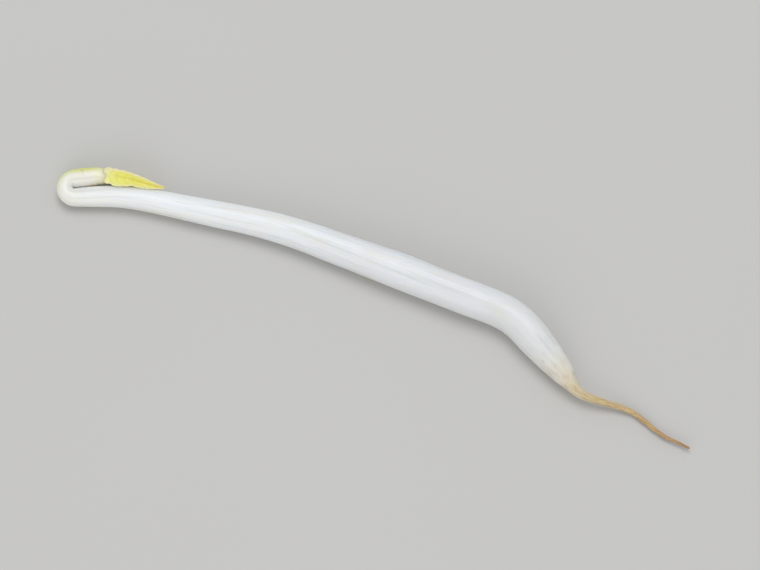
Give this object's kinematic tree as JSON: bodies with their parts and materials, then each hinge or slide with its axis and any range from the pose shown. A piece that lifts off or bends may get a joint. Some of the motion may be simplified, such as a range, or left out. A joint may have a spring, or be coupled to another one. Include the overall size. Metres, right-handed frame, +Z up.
{
  "type": "mung bean sprout",
  "caption": "Slender white bean sprout lying on its side, thinning to a thin root at one end and hooked at the other, where small folded yellow leaves lie back beside the stem.",
  "frame": {"origin": "middle of the sprout's footprint, on the surface that it lies on", "axes": "+X from the hook end to the root's tip, +Y to the side that the stem bows to and the leaves lie on, +Z up from the surface"},
  "size_m": [0.0742, 0.0084, 0.0038],
  "materials": {
    "stem_skin": "moist and slightly see-through, white, turning yellow-green round the hook and tan to brown along the root",
    "leaf_blade": "soft, faintly satin, yellow with an olive midrib and paler edges"
  },
  "bodies": {
    "root": {"stem_and_root": "stem_skin", "leaf_upper": "leaf_blade", "leaf_lower": "leaf_blade"}
  },
  "joints": []
}
